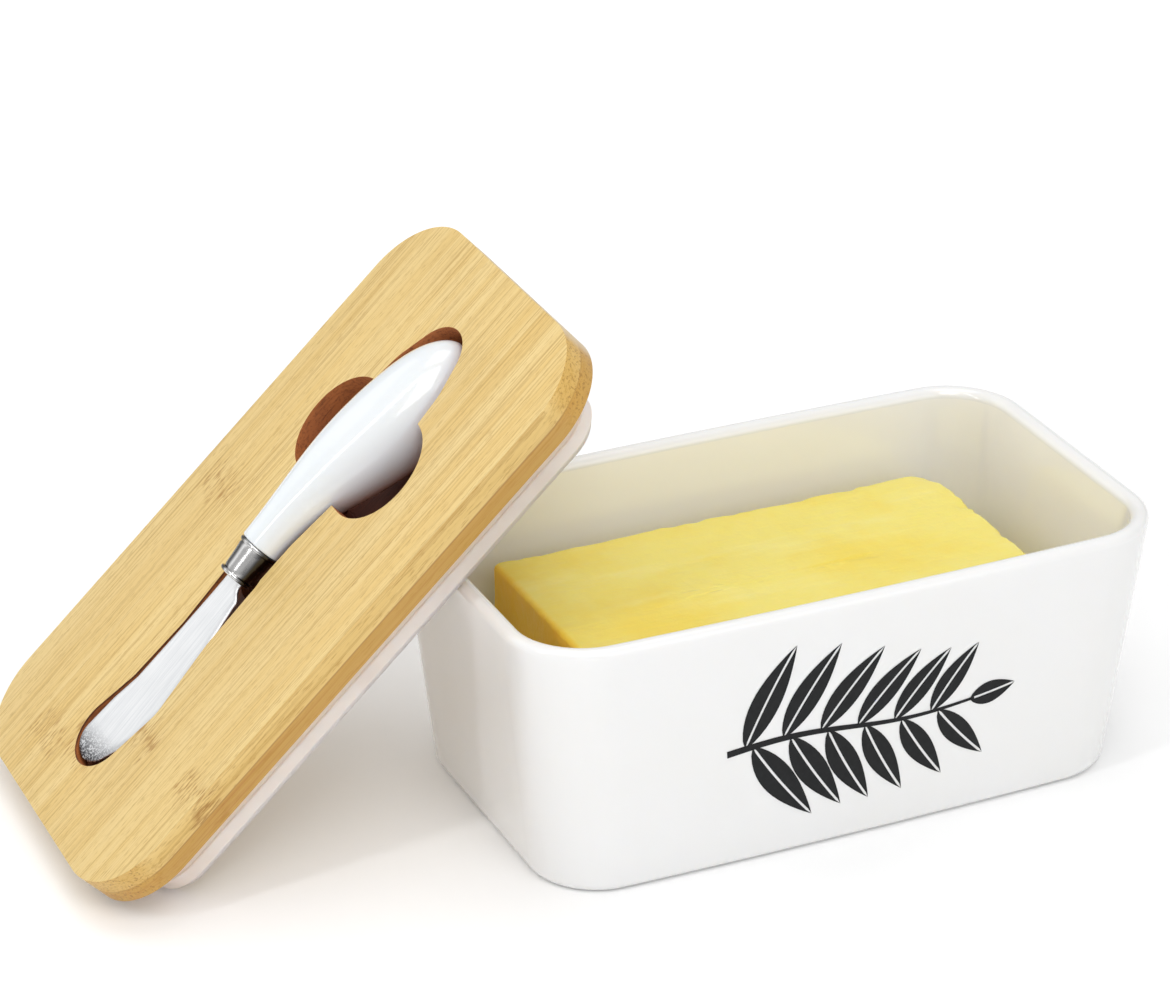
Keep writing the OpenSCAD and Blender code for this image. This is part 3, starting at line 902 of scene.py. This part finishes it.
def make_butter():
    """A cut block: soft edges, slightly uneven faces, and nicks along its top edges."""
    l, w, top, foot, cx, r = BUTTER_L, BUTTER_W, BUTTER_TOP, BUTTER_FOOT, BUTTER_X, BUTTER_R
    under = BUTTER_UNDER_R
    rings = []
    wall_rows = 26

    def ring(z, inset):
        loop = outline(l - 2 * inset, w - 2 * inset, max(2.2 - inset * 0.6, 0.5),
                       corner=5, side=110, end=64)
        rings.append([(x + cx, y, z) for x, y in loop])

    for s in range(0, 6):
        a = math.radians(90 * s / 5)
        rise = under * (1 - math.sin(a))
        ring(foot + rise if s else foot, rise + BUTTER_IN)
    for s in range(1, wall_rows):
        ring(foot + under + (top - r - foot - under) * s / wall_rows, BUTTER_IN)
    for s in range(0, 7):
        a = math.radians(90 * s / 6)
        ring(top - r + r * math.sin(a), BUTTER_IN + r * (1 - math.cos(a)))
    inset = r + BUTTER_IN
    while inset < 35:
        inset += 1.1
        loop = outline(l - 2 * inset, max(w - 2 * inset, 0.6), 0.25,
                       corner=5, side=110, end=64)
        rings.append([(x + cx, y, top) for x, y in loop])
    points, faces = loft(rings)
    rng = random.Random(7)
    nicks = []
    for _ in range(NICKS):
        side = rng.choice("bbbbfrrl")
        t = rng.uniform(-0.5, 0.5)
        where = {"b": (cx + l * t, w / 2), "f": (cx + l * t, -w / 2),
                 "r": (cx + l / 2, w * t), "l": (cx - l / 2, w * t)}[side]
        nicks.append((Vector((*where, top)), rng.uniform(1.2, 3.2), rng.uniform(0.25, 0.8)))
    nicks.append((Vector((cx + l / 2, w / 2 - 2, top)), 7.0, 1.6))
    nicks.append((Vector((cx + l / 2 - 2, w / 2 - 22, top)), 3.0, 1.0))
    moved = []
    for p in points:
        v = Vector(p)
        out = Vector((max(-1, min(1, (v.x - cx) / (l / 2))) ** 15,
                      max(-1, min(1, v.y / (w / 2))) ** 15,
                      max(0, min(1, v.z / top)) ** 15))
        slow = noise.noise(v * 0.035 + Vector((3, 1, 7)))
        mid = noise.noise(v * 0.12 + Vector((9, 4, 2)))
        fine = noise.noise(v * 0.45 + Vector((1, 8, 5)))
        d = 0.45 * slow + 0.30 * mid + 0.09 * fine - 0.55
        drop = 0.0
        for c, reach, depth in nicks:
            q = (v - c).length / reach
            if q < 1:
                drop += depth * (1 - q * q) ** 2
        if v.z > foot + 2:
            v += out * d
            sink = drop * 0.8 if v.z > top - 6 else 0
            v -= Vector((out.x * drop * 0.5, out.y * drop * 0.5, sink))
        v.z = max(v.z, foot)
        moved.append(tuple(v))
    butter = add_object("butter", moved, faces, [BUTTER], "butter")
    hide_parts("butter_block")


make_tub()
make_print()
make_board()
make_seal()
make_handle()
make_ferrule()
make_blade()
make_butter()
cement_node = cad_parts["handle_cement"]
cement_node.data.materials.clear()
cement_node.data.materials.append(CEMENT)


# ---------------------------------------------------------------- floor, light and camera

def make_floor():
    """A pale table top, 12 m square."""
    mesh = bpy.data.meshes.new("floor")
    half = 6.0
    mesh.from_pydata([(-half, -half, 0), (half, -half, 0), (half, half, 0), (-half, half, 0)], [],
                     [(0, 1, 2, 3)])
    m = Nodes("pale_floor_painted_glow", own_axes=False)
    m.set(Base_Color=(0.93, 0.93, 0.93), Roughness=0.6)
    # painted light: the floor glows a little, more so away from the dish, which leaves painted
    # shade near the dish
    away = m.add("ShaderNodeVectorMath", operation="LENGTH")
    m.link(m.place, away.inputs[0])
    m.set(Specular_IOR_Level=0.2, Emission_Color=(1, 1, 1),
          Emission_Strength=m.ramp(away.outputs["Value"], 0.18, 0.50, 0.06, 0.24))
    mesh.materials.append(m.material)
    floor = bpy.data.objects.new("floor", mesh)
    bpy.context.scene.collection.objects.link(floor)


def area_light(name, place, target, size, power, along=(0, 0, 1)):
    """A panel that faces its target, with its long side square to the line of sight and along."""
    data = bpy.data.lights.new(name, "AREA")
    data.shape, data.size, data.size_y = "RECTANGLE", size[0], size[1]
    data.energy = power
    back = (Vector(place) - Vector(target)).normalized()
    long_side = (Vector(along) - back * back.dot(Vector(along))).normalized()
    turn = Matrix((long_side, back.cross(long_side), back)).transposed().to_4x4()
    obj = bpy.data.objects.new(name, data)
    obj.matrix_world = Matrix.Translation(Vector(place)) @ turn
    bpy.context.scene.collection.objects.link(obj)


def make_light():
    """An even white studio, soft panels, and a strip along the lid for the handle's highlight."""
    world = bpy.data.worlds.new("studio")
    bpy.context.scene.world = world
    world.use_nodes = True
    back = world.node_tree.nodes["Background"]
    back.inputs["Color"].default_value = (1.0, 1.0, 1.0, 1)
    back.inputs["Strength"].default_value = 0.58
    lid = (-0.11, 0.03, 0.08)
    area_light("key", (-0.28, -0.85, 1.35), (0, 0, 0.03), (0.9, 0.7), 7.0)
    area_light("top", (0.10, 0.10, 1.40), (0.03, 0, 0.03), (0.7, 0.7), 3.2)
    area_light("strip", (-0.82, -0.26, 0.84), lid, (1.1, 0.10), 2.2, LID.col[0].to_3d())
    area_light("front", (0.45, -1.3, 0.75), (0.02, 0, 0.04), (0.9, 0.7), 2.0)
    area_light("behind_left", (-0.78, 0.81, 0.69), lid, (1.0, 0.9), 1.9)


def make_camera():
    """The photograph's camera, as fitted to the tub's corners."""
    focal_pixels, image_width = 4199.65, 1170
    right = Vector((0.9062, -0.4228, 0.0017))
    down = Vector((-0.1875, -0.4053, -0.8948))
    forward = Vector((0.379, 0.8105, -0.4465))
    data = bpy.data.cameras.new("camera")
    data.sensor_width = 36
    data.lens = focal_pixels / image_width * data.sensor_width
    data.clip_end = 50
    obj = bpy.data.objects.new("camera", data)
    turn = Matrix((right, -down, -forward)).transposed().to_4x4()
    obj.matrix_world = Matrix.Translation(Vector((-0.4251, -0.8009, 0.5219))) @ turn
    bpy.context.scene.collection.objects.link(obj)
    bpy.context.scene.camera = obj


make_floor()
make_light()
make_camera()
bpy.context.scene.view_settings.view_transform = "Standard"

bpy.context.view_layer.update()
